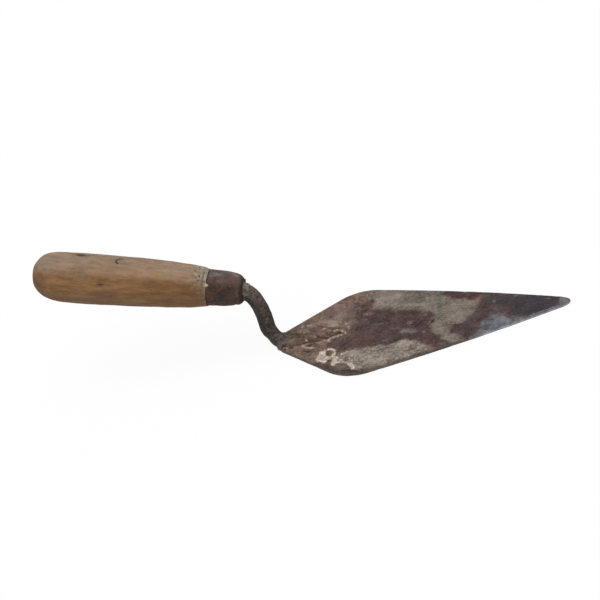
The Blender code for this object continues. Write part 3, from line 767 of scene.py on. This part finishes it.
def make_handle():
    profile, hidden = handle_profile()
    along, radius, angle = turned_table(profile, HANDLE_COLUMNS)
    place = local_place(along, radius, angle)
    shape = along.shape
    shown = np.zeros(shape)
    shown[hidden + 1:] = 1.0
    butt = smooth(along, 100.0, 114.0)

    def rough(*choice):
        return lumps(place, *choice).reshape(shape)

    grain = rough(1.3, 61, 4, 14.0)
    streak = rough(3.4, 62, 4, 9.0)
    knocks = rough(7.0, 63)
    small = rough(1.4, 64)
    turn = signed(angle)
    depth = -0.06 + 0.030 * grain + 0.05 * streak + 0.07 * knocks
    depth += 0.08 * smooth(small, 0.55, 0.95)

    rings = np.zeros(shape)
    for ring_along, ring_depth in HANDLE_RINGS:
        rings += ring_depth * bell(along - 0.15 * knocks, ring_along, 0.22)
    depth += rings

    def at(*place_of_mark):
        return mark(along, radius, angle, *place_of_mark)

    def sum_of(table):
        return sum(strength * at(*each) for strength, *each in table)

    dent = at(*DENT)
    crack = at(CRACK[0], CRACK[1] + 1.2 * np.sin(along / 2.0), *CRACK[2:])
    branch = at(BRANCH[0], BRANCH[1] + np.sin(along), *BRANCH[2:])
    crack = np.maximum(crack, 0.8 * branch)
    forward, sideways = from_mark(along, radius, angle, *HOOK)
    hook = 1.1 * bell(np.hypot(forward, sideways), *HOOK_LINE)
    hook *= smooth(forward + 0.3 * sideways, -1.4, 0.8)
    hook += sum_of(HOOK_SMUDGES)
    specks = sum_of(HANDLE_SPECKS)
    neck = 0.38 * smooth(turn, -50.0, 0.0) + 0.62 * smooth(turn, 15.0, 65.0)
    neck *= fade(along, 21.5, 31.0) * fade(turn, 135.0, 175.0)
    specks += 0.80 * neck * smooth(rough(1.5, 66), 0.20, 0.75)
    depth += 0.60 * dent + 0.35 * crack + 0.35 * hook + 0.20 * specks
    splits = smooth(rough(1.6, 65, 3, 16.0), 0.75, 1.1)
    depth += 0.10 * splits * smooth(along, 30.0, 40.0)
    full = BUTT_SWELL[0] * bell(along, *BUTT_SWELL[1:])
    full *= smooth(turn, 10.0, 80.0) * fade(turn, 110.0, 175.0)
    swell = (full - depth * (1 - 0.6 * butt)) * smooth(radius, 0.0, 3.0)
    rise = height_of(angle) * smooth(radius, 0.0, 11.0)
    radius = radius + shown * swell

    lip = mark(along - FERRULE_END, radius, angle, *LIFTED_LIP) * shown
    band = fade(along, 19.7, 20.3) * shown
    fibre = band * smooth(turn, 30.0, 37.0) * fade(turn, 110.0, 135.0)
    olive = band * smooth(turn, -2.0, 6.0) * fade(turn, 27.0, 33.0)
    groove = bell(along - 0.1 * knocks, GROOVE, 0.35) * shown
    groove *= smooth(turn, 32.0, 50.0) * fade(turn, 70.0, 100.0)
    above = smooth(height_of(angle), -0.4, 0.9)
    shoulder = fade(along, 18.6, 22.0) * (0.35 + 0.65 * above) * shown
    radius = radius + 0.35 * lip - 0.5 * shoulder - 0.25 * groove
    along = along - 1.6 * lip
    nose = np.zeros(shape)
    nose[len(BORE):len(BORE) + NOSE_ROWS] = 1.0
    along = along - nose * (0.35 * small + 0.35 + 0.5 * at(NOSE, *FILLING_LUMP))

    points = on_axis(along, radius, angle)
    points += BOW[0] * bell(along.reshape(-1, 1), *BOW[1:]) * UP
    faces = band_faces(np.arange(along.size).reshape(shape))
    fields = {
        # painted light on the top of the handle and painted shade on its underside, set by which way
        # the surface faces
        "wear": smooth(rise, 0.30, 1.05), "under": fade(rise, -0.75, 0.15), "neck": neck,
        "olive": olive, "filling": fade(along, 8.0, 12.0), "butt": butt, "fibre": fibre,
        "lip": lip, "rings": rings * 7, "stain": sum_of(STAINS),
        "dark": dent * 1.5 + crack + hook + 0.9 * groove + specks + 0.4 * splits,
    }
    fields = {"place": place, **{name: values.ravel() for name, values in fields.items()}}
    return add_piece("handle_weathered", points, faces, fields)


# ---------------------------------------------------------------- shank

def remeshed_shank():
    """Points and faces of the CAD shank, sunk into the blade and cut into small even faces."""
    work = bmesh.new()
    work.from_mesh(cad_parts["shank"].data)
    bmesh.ops.remove_doubles(work, verts=work.verts, dist=WELD)
    heel = OUTLINE[:, 0].min()
    for vertex in work.verts:
        if vertex.co.z < (BLADE_TOP + 0.45) * MM and vertex.co.x > (heel + 0.3) * MM:
            vertex.co.z = SINK * MM
    bead = Matrix.Translation((Vector((heel, 0.0, 0.0)) + Vector(BEAD_INSET)) * MM)
    bead @= Matrix.Diagonal(Vector((*BEAD_AXES, 1.0 / MM))) * MM
    bmesh.ops.create_uvsphere(work, u_segments=48, v_segments=24, radius=1.0, matrix=bead)
    mesh = bpy.data.meshes.new("shank_sunk")
    work.to_mesh(mesh)
    work.free()
    base = new_object("shank_sunk", mesh)
    remesh = base.modifiers.new("small faces", "REMESH")
    remesh.mode = "VOXEL"
    remesh.voxel_size = SHANK_VOXEL * MM
    relax = base.modifiers.new("relax", "SMOOTH")
    relax.factor = 0.5
    relax.iterations = 5
    shown = base.evaluated_get(bpy.context.evaluated_depsgraph_get()).to_mesh()
    points = coordinates(shown)
    normals = np.empty(len(shown.vertices) * 3, np.float32)
    shown.vertex_normals.foreach_get("vector", normals)
    faces = [tuple(face.vertices) for face in shown.polygons]
    bpy.data.objects.remove(base)
    return points, normals.reshape(-1, 3).astype(float), faces


def make_shank():
    points, normals, faces = remeshed_shank()
    upright = smooth(points[:, 2], *NECK_FOOT) * fade(points[:, 2], *NECK_HEAD)
    points[:, 0] += NECK_SHIFT * upright
    heel_bend = HEEL_BEND[0] * bell(points[:, 2], *HEEL_BEND[1:])
    heel_bend *= fade(normals[:, 0], -0.6, 0.1)
    points -= normals * heel_bend[:, None]
    far_foot = spot(points, *FAR_FOOT) * smooth(points[:, 2], BLADE_TOP, BLADE_TOP + 1.5)
    points[:, 2] -= FAR_FOOT_DROP * far_foot
    behind = (points - MOUTH) @ AXIS
    flat = points * (1, 1, 0)
    uneven = lumps(points, 5.0, 74)
    tongue = smooth(points[:, 0] + 2.5 * uneven, -38.0, -33.0) * fade(points[:, 2], 4.0, 7.5)
    foot = fade(points[:, 2], 6.0, 16.0) * (1 - tongue)
    above = (points - MOUTH) @ UP
    mortar = smooth(behind + 0.30 * above + 1.0 * uneven, -3.6, -1.6)
    from_hole = (points - MORTAR_HOLE) / MORTAR_HOLE_SIZE
    mortar -= 1.2 * np.exp(-(from_hole ** 2).sum(axis=1))
    face = weathering(flat, TONGUE_MARKS)
    coarse = lumps(points, 3.2, 71)
    fine = lumps(points, 1.0, 72)
    swell = 0.05 * coarse + 0.03 * fine - 0.10 * smooth(fine, 0.45, 0.9)
    swell += mortar * (0.12 + 0.18 * lumps(points, 2.0, 73))
    swell += tongue * (0.18 * smooth(face["cream"], 0.3, 1.0) + 0.05 * fine
                       - 0.22 * smooth(face["soot"], 0.3, 1.0))
    points = points + normals * (swell * fade(behind, 0.3, 1.5))[:, None]
    # painted shade: points whose surface faces down are darkened, as if in shadow
    painted_shade_side = smooth(normals @ PAINTED_SHADE_FACING, -0.35, 0.45) * (1 - tongue)
    fields = {"place": points, "mortar": mortar, "tongue": tongue, "foot": foot,
              "painted_shade_side": painted_shade_side, "bend": smooth(points[:, 2], 19.0, 37.0)}
    fields.update({name: face[name] for name, *_ in FACE_TINTS})
    return add_piece("shank_forged", points, faces, fields)


# ---------------------------------------------------------------- materials

class Graph:
    """Node tree of one material, with short ways to add the nodes that are used here."""

    def __init__(self, name):
        self.material = bpy.data.materials.new(name)
        self.material.use_nodes = True
        self.tree = self.material.node_tree
        self.shader = self.tree.nodes["Principled BSDF"]

    def put(self, socket, value):
        if isinstance(value, bpy.types.NodeSocket):
            self.tree.links.new(value, socket)
        elif isinstance(value, tuple):
            socket.default_value = (*value, 1.0) if len(socket.default_value) == 4 else value
        else:
            socket.default_value = value

    def node(self, kind, *values, **settings):
        """Adds a node with its settings, and fills its first sockets."""
        node = self.tree.nodes.new("ShaderNode" + kind)
        for name, value in settings.items():
            setattr(node, name, value)
        for socket, value in zip(node.inputs, values):
            self.put(socket, value)
        return node

    def field(self, name):
        return self.node("Attribute", attribute_name=name).outputs["Fac"]

    def noise(self, size, detail=4.0, stretch=1.0, roughness=0.6, warp=0.0):
        """Noise from -1 to 1 with lumps of a size in millimetres, stretched along z."""
        place = self.node("Attribute", attribute_name="place").outputs["Vector"]
        scaled = self.node("VectorMath", place, (1.0, 1.0, stretch), operation="DIVIDE")
        node = self.node("TexNoise", scaled.outputs[0])
        node.inputs["Scale"].default_value = 1.0 / size
        node.inputs["Detail"].default_value = detail
        node.inputs["Roughness"].default_value = roughness
        node.inputs["Distortion"].default_value = warp
        return self.span(node.outputs["Fac"], 0.25, 0.75, -1.0, 1.0)

    def span(self, value, low, high, to_low=0.0, to_high=1.0, kind="LINEAR"):
        return self.node("MapRange", value, low, high, to_low, to_high,
                         interpolation_type=kind).outputs["Result"]

    def step(self, value, low, high):
        return self.span(value, low, high, kind="SMOOTHSTEP")

    def add(self, first, second):
        return self.node("Math", first, second, operation="ADD").outputs[0]

    def times(self, first, second):
        return self.node("Math", first, second, operation="MULTIPLY").outputs[0]

    def mix(self, factor, first, second):
        """Colour between two colours."""
        node = self.node("Mix", factor, data_type="RGBA")
        self.put(node.inputs[6], first)
        self.put(node.inputs[7], second)
        return node.outputs[2]

    def blend(self, factor, first, second):
        """Number between two numbers."""
        node = self.node("Mix", factor)
        self.put(node.inputs[2], first)
        self.put(node.inputs[3], second)
        return node.outputs[0]

    def area(self, name, low, high, size=1.0, fray=0.0, detail=4.0):
        """Mask from two values of a field, its edge frayed by noise with lumps of a size."""
        level = self.field(name)
        if fray:
            level = self.add(level, self.times(self.noise(size, detail), fray))
        return self.step(level, low, high)

    def coats(self, color, *table):
        """Lays coats over a colour. Each has its mask, or what area() makes that from, then a
        strength and one plain colour, or what mottle() makes a mottled one from."""
        for mask, strength, *paint in table:
            mask = self.area(*mask) if isinstance(mask, tuple) else mask
            over = paint[0] if len(paint) == 1 else self.mottle(*paint)
            color = self.mix(self.times(mask, strength), color, over)
        return color

    def grains(self, low, high, *noise):
        """Mask of scattered grains, from two values of a noise."""
        return self.step(self.noise(*noise), low, high)

    def relief(self, fine, coarse, depth, low):
        """Bump of fine pitting with coarser lumps over it, above a low value of their noise."""
        pitted = self.bump(self.noise(fine, 6.0, roughness=0.7), depth)
        return self.bump(self.grains(low, 0.9, coarse), depth, pitted)

    def mottle(self, dark, light, size, detail=5.0, stretch=1.0):
        """Colour that wanders between two colours, in small lumps and in broad ones."""
        small = self.times(self.noise(size, detail, stretch), 0.65)
        broad = self.times(self.noise(size * 4.5, 3.0, stretch), 0.5)
        return self.mix(self.step(self.add(small, broad), -0.75, 0.75), dark, light)

    def rough(self, size, low, high, detail=5.0, stretch=1.0):
        """Roughness that wanders between two values, in lumps of a size."""
        return self.span(self.noise(size, detail, stretch), -1.0, 1.0, low, high)

    def bump(self, height, depth, normal=None):
        """Bump from a height of about -1 to 1 that stands for a depth in millimetres."""
        node = self.tree.nodes.new("ShaderNodeBump")
        node.inputs["Distance"].default_value = depth * MM
        self.put(node.inputs["Height"], height)
        if normal is not None:
            self.put(node.inputs["Normal"], normal)
        return node.outputs["Normal"]

    def finish(self, color, roughness, metallic, normal, specular):
        names = ("Base Color", "Roughness", "Metallic", "Normal", "Specular IOR Level")
        for name, value in zip(names, (color, roughness, metallic, normal, specular)):
            self.put(self.shader.inputs[name], value)
        return self.material


def layers(graph, color, table):
    """Lays patches over a colour. Each has a field, how far its edge frays, how soft that is,
    its dark and light colours, and the size of its mottling. Gives the masks as well."""
    masks = {}
    rough = graph.add(graph.times(graph.noise(1.3, 6.0), 0.6), graph.times(graph.noise(4.0, 4.0), 0.7))
    for field, fray, soft, dark, light, size in table:
        ragged = graph.add(graph.field(field), graph.times(rough, fray))
        masks[field] = graph.step(ragged, -soft, soft)
        color = graph.mix(masks[field], color, graph.mottle(dark, light, size))
    return color, masks


def tints(graph, color, table, within=None):
    """Lays marks over a colour. Each has a field, strength, how far it frays, the field's
    values where it starts and is full, its dark and light colours and its mottling's size."""
    fine = graph.noise(0.9, 6.0)
    for field, strength, fray, low, high, dark, light, size in table:
        level = graph.field(field)
        frayed = graph.times(graph.times(fine, fray), graph.step(level, 0.02, 0.3))
        mask = graph.times(graph.step(graph.add(level, frayed), low, high), strength)
        if within is not None:
            mask = graph.times(mask, within)
        color = graph.mix(mask, color, graph.mottle(dark, light, size))
    return color


FACE_TINTS = (
    ("tan", 0.65, 0.3, 0.15, 0.9, (0.17, 0.132, 0.108), (0.43, 0.362, 0.305), 1.3),
    ("green", 0.6, 0.3, 0.15, 0.9, (0.075, 0.072, 0.052), (0.165, 0.16, 0.122), 1.5),
    ("red", 0.65, 0.35, 0.15, 1.0, (0.078, 0.036, 0.031), (0.165, 0.08, 0.064), 1.6),
    ("blue", 0.85, 0.3, 0.15, 0.9, (0.022, 0.019, 0.025), (0.06, 0.055, 0.068), 1.8),
    ("mauve", 0.75, 0.35, 0.15, 0.9, (0.09, 0.058, 0.06), (0.185, 0.128, 0.128), 1.5),
    ("haze", 0.72, 0.35, 0.15, 0.85, (0.125, 0.095, 0.096), (0.285, 0.235, 0.235), 1.2),
    ("soot", 0.9, 0.35, 0.2, 0.85, (0.026, 0.016, 0.008), (0.078, 0.048, 0.026), 1.2),
    ("yellow", 0.8, 0.35, 0.15, 0.85, (0.2, 0.162, 0.112), (0.44, 0.38, 0.275), 1.0),
    ("cream", 0.85, 0.28, 0.2, 0.85, (0.25, 0.178, 0.142), (0.64, 0.52, 0.44), 0.8),
)


def blade_material():
    graph = Graph("pitted rusty steel")
    color = graph.mottle((0.086, 0.053, 0.04), (0.292, 0.198, 0.152), 1.7)
    color, masks = layers(graph, color, (
        ("pale", 1.6, 1.5, (0.092, 0.075, 0.062), (0.282, 0.236, 0.2), 1.5),
        ("film", 1.4, 1.1, (0.085, 0.07, 0.056), (0.42, 0.356, 0.3), 1.1),
        ("rust", 1.7, 1.5, (0.034, 0.02, 0.02), (0.118, 0.074, 0.07), 1.6),
        ("bare", 2.2, 3.0, (0.105, 0.104, 0.124), (0.305, 0.31, 0.35), 2.6),
        ("crust", 0.45, 0.32, (0.255, 0.2, 0.168), (0.86, 0.73, 0.635), 1.1),
    ))
    color = tints(graph, color, FACE_TINTS)
    worn = graph.area("worn", 0.25, 0.9, 1.6, 0.3)
    rim = graph.times(graph.area("rim", 0.1, 0.6), 0.75)
    color = graph.coats(
        color,
        (("grime", 0.25, 0.9, 1.6, 0.35), 0.7, (0.055, 0.044, 0.036), (0.15, 0.125, 0.104), 1.3),
        (worn, 0.75, (0.1, 0.1, 0.106), (0.28, 0.282, 0.29), 1.4),
        (rim, 1.0, (0.09, 0.08, 0.068), (0.26, 0.235, 0.205), 1.4),
        (rim, worn, (0.3, 0.305, 0.32), (0.64, 0.65, 0.68), 1.4))
    bare = masks["bare"]
    roughness = graph.blend(bare, graph.rough(1.4, 0.62, 0.9), graph.rough(0.8, 0.34, 0.58, 6.0))
    normal = graph.relief(0.45, 1.1, 0.06, 0.2)
    return graph.finish(color, roughness, graph.blend(bare, 0.05, 0.7), normal, 0.22)


def shank_material():
    graph = Graph("forged steel under dirt")
    color = graph.mottle((0.034, 0.022, 0.02), (0.15, 0.108, 0.096), 1.5)
    tongue = graph.area("tongue", 0.1, 0.9)
    pits = graph.grains(0.25, 0.75, 1.6, 4.0, 1.0, 0.6, 0.3)
    color = graph.coats(
        color,
        (graph.grains(-0.1, 0.7, 3.2), 0.5, (0.092, 0.05, 0.04)),
        (graph.field("bend"), 0.65, (0.07, 0.054, 0.048), (0.25, 0.196, 0.17), 1.4),
        (graph.grains(0.18, 0.7, 1.5, 5.0), 0.75, (0.31, 0.248, 0.22)),
        # painted shade: near-black coat on the side of the shank that faces down
        (("painted_shade_side", 0.2, 0.9, 1.8, 0.4), 0.88,
         (0.013, 0.013, 0.01), (0.064, 0.056, 0.046), 1.6),
        (("foot", 0.3, 0.9, 2.0, 0.35), 0.6, (0.02, 0.017, 0.012), (0.125, 0.102, 0.084), 1.5),
        (pits, 0.85, (0.014, 0.013, 0.01)),
        (tongue, 1.0, (0.056, 0.033, 0.022), (0.2, 0.122, 0.086), 1.5))
    color = tints(graph, color, FACE_TINTS, graph.blend(tongue, 0.8, 1.0))
    color = graph.coats(color, (("mortar", 0.3, 0.9, 1.3, 0.7), 1.0,
                                (0.058, 0.044, 0.033), (0.47, 0.38, 0.295), 1.3))
    normal = graph.relief(0.5, 1.2, 0.08, 0.1)
    return graph.finish(color, graph.rough(1.3, 0.6, 0.92), 0.0, normal, 0.25)


FERRULE_TINTS = (
    ("purple", 0.9, 0.35, 0.12, 0.9, (0.038, 0.017, 0.022), (0.098, 0.045, 0.056), 1.6),
    ("red", 0.9, 0.4, 0.12, 0.9, (0.075, 0.032, 0.025), (0.19, 0.09, 0.07), 1.2),
    ("olive", 0.9, 0.4, 0.12, 0.9, (0.03, 0.026, 0.013), (0.1, 0.086, 0.052), 1.4),
    ("grey", 0.85, 0.4, 0.12, 0.9, (0.105, 0.088, 0.084), (0.265, 0.222, 0.21), 1.2),
)


def ferrule_material():
    graph = Graph("rusty tube")
    color = graph.mottle((0.042, 0.021, 0.0145), (0.138, 0.075, 0.054), 1.5)
    # painted sheen: a lighter, greyer coat on the top of the tube, as if lit from above
    color = graph.coats(color, (("above", 0.2, 1.0, 2.4, 0.4), 0.45,
                                (0.07, 0.06, 0.052), (0.18, 0.152, 0.136), 1.3))
    color = tints(graph, color, FERRULE_TINTS)
    color = graph.coats(
        color,
        (graph.grains(0.4, 0.85, 0.9, 5.0), 0.3, (0.25, 0.19, 0.165)),
        (graph.grains(0.35, 0.8, 1.2, 5.0), 0.55, (0.024, 0.015, 0.01)),
        # painted shade: dark band round the rounded front end of the tube
        (("mouth", 0.2, 0.8, 1.5, 0.6), 0.7, (0.032, 0.024, 0.016)))
    normal = graph.relief(0.5, 1.3, 0.06, 0.2)
    return graph.finish(color, graph.rough(1.3, 0.6, 0.9), 0.0, normal, 0.25)


def handle_material():
    graph = Graph("weathered wood")
    along = (9.0, 0.65, 0.4)    # stretch, roughness and warp of the noise of the streaks
    color = graph.mottle((0.19, 0.089, 0.031), (0.42, 0.22, 0.081), 4.0, 4.0, 4.0)
    color = graph.coats(
        color,
        (graph.grains(0.0, 0.8, 1.0, 5.0, *along), 0.38, (0.14, 0.066, 0.028)),
        (graph.grains(0.1, 0.8, 1.3, 5.0, *along), 0.35, (0.5, 0.3, 0.135)),
        (graph.grains(0.15, 0.75, 1.3, 4.0, 1.8), 0.42, (0.18, 0.094, 0.046)),
        (graph.grains(0.0, 0.9, 8.0, 3.0, 1.6), 0.35, (0.24, 0.138, 0.09)),
        # painted shade: the underside of the handle is darker
        (("under", 0.1, 1.0, 3.0, 0.3, 5.0), 0.4,
         (0.118, 0.051, 0.018), (0.28, 0.132, 0.047), 2.0, 5.0, 3.0),
        (("butt", 0.1, 1.0, 5.0, 0.4), 0.7,
         (0.08, 0.039, 0.015), (0.192, 0.099, 0.041), 2.5, 5.0, 3.0),
        # painted light: the top of the handle is paler and greyer
        (("wear", 0.15, 1.0, 3.0, 0.35, 5.0), 0.6,
         (0.195, 0.15, 0.118), (0.4, 0.315, 0.246), 1.8, 5.0, 3.0),
        (("stain", 0.2, 1.1, 2.0, 0.4), 0.55, (0.1, 0.062, 0.042), (0.25, 0.172, 0.128), 1.5),
        (("neck", 0.2, 0.9, 2.4, 0.35), 0.6, (0.205, 0.162, 0.11), (0.56, 0.48, 0.375), 1.1),
        (("rings", 0.1, 0.9), 0.45, (0.15, 0.098, 0.052)),
        (("olive", 0.2, 0.8), 0.7, (0.15, 0.118, 0.055), (0.35, 0.292, 0.165), 1.2),
        (("fibre", 0.25, 1.0, 0.8, 0.3), 0.75, (0.235, 0.188, 0.138), (0.52, 0.44, 0.345), 1.2),
        (("lip", 0.15, 0.6), 0.85, (0.44, 0.35, 0.225), (0.76, 0.65, 0.48), 1.4),
        (("dark", 0.2, 1.0, 0.7, 0.25), 0.85, (0.05, 0.03, 0.02)),
        (("filling", 0.2, 0.8), 1.0, (0.15, 0.112, 0.08), (0.36, 0.29, 0.22), 1.0))
    grain = graph.bump(graph.noise(0.35, 5.0, 16.0, 0.7), 0.05)
    normal = graph.bump(graph.noise(1.2), 0.05, grain)
    return graph.finish(color, graph.rough(1.6, 0.55, 0.8, 5.0, 9.0), 0.0, normal, 0.3)


# ---------------------------------------------------------------- stage

def make_floor():
    mesh = bpy.data.meshes.new("floor")
    work = bmesh.new()
    bmesh.ops.create_grid(work, x_segments=1, y_segments=1, size=FLOOR_SIZE / 2 * MM)
    work.to_mesh(mesh)
    work.free()
    floor = new_object("floor", mesh)
    floor.location.z = -FLOOR_DROP * MM
    graph = Graph("pale floor")
    graph.put(graph.shader.inputs["Base Color"], (1.0 - FLOOR_GLOW,) * 3)
    graph.put(graph.shader.inputs["Emission Color"], (1.0, 1.0, 1.0))
    graph.shader.inputs["Emission Strength"].default_value = FLOOR_GLOW
    graph.shader.inputs["Specular IOR Level"].default_value = 0.0
    mesh.materials.append(graph.material)
    floor.visible_diffuse = False


def make_light():
    lamp = bpy.data.lights.new("softbox", "SUN")
    lamp.angle = math.radians(LAMP_SPREAD)
    lamp.energy = LAMP
    new_object("softbox", lamp).rotation_euler = (*np.radians(LAMP_TILT), 0.0)

    world = bpy.data.worlds.new("studio")
    world.use_nodes = True
    tree = world.node_tree
    direction = tree.nodes.new("ShaderNodeTexCoord")
    parts = tree.nodes.new("ShaderNodeSeparateXYZ")
    tree.links.new(direction.outputs["Generated"], parts.inputs[0])
    level = tree.nodes.new("ShaderNodeMapRange")
    level.interpolation_type = "SMOOTHSTEP"
    for socket, number in zip(level.inputs[1:], (-HORIZON, HORIZON, BELOW, SKY)):
        socket.default_value = number
    tree.links.new(parts.outputs["Z"], level.inputs["Value"])
    ray = tree.nodes.new("ShaderNodeLightPath")
    strength = tree.nodes.new("ShaderNodeMix")
    strength.inputs[3].default_value = 1.0
    tree.links.new(ray.outputs["Is Camera Ray"], strength.inputs["Factor"])
    tree.links.new(level.outputs["Result"], strength.inputs[2])
    tree.links.new(strength.outputs[0], tree.nodes["Background"].inputs["Strength"])
    tree.nodes["Background"].inputs["Color"].default_value = (1.0, 1.0, 1.0, 1.0)
    bpy.context.scene.world = world


def make_camera():
    azimuth = math.radians(CAMERA_AZIMUTH)
    elevation = math.radians(CAMERA_ELEVATION)
    back = Vector((math.sin(azimuth) * math.cos(elevation),
                   -math.cos(azimuth) * math.cos(elevation), math.sin(elevation)))
    aim = (cad_box[0] + cad_box[1]) / 2 + Vector(CAMERA_AIM) * MM
    data = bpy.data.cameras.new("camera")
    data.lens = CAMERA_LENS
    data.clip_start = 0.01
    camera = new_object("camera", data)
    level = (-back).to_track_quat("-Z", "Y").to_matrix().to_4x4()
    roll = Matrix.Rotation(math.radians(CAMERA_ROLL), 4, "Z")
    camera.matrix_world = Matrix.Translation(aim + back * CAMERA_DISTANCE * MM) @ level @ roll
    bpy.context.scene.camera = camera


make_camera()
make_light()
make_floor()
make_blade().data.materials.append(blade_material())
make_shank().data.materials.append(shank_material())
make_ferrule().data.materials.append(ferrule_material())
make_handle().data.materials.append(handle_material())
bpy.context.scene.view_settings.view_transform = "Standard"
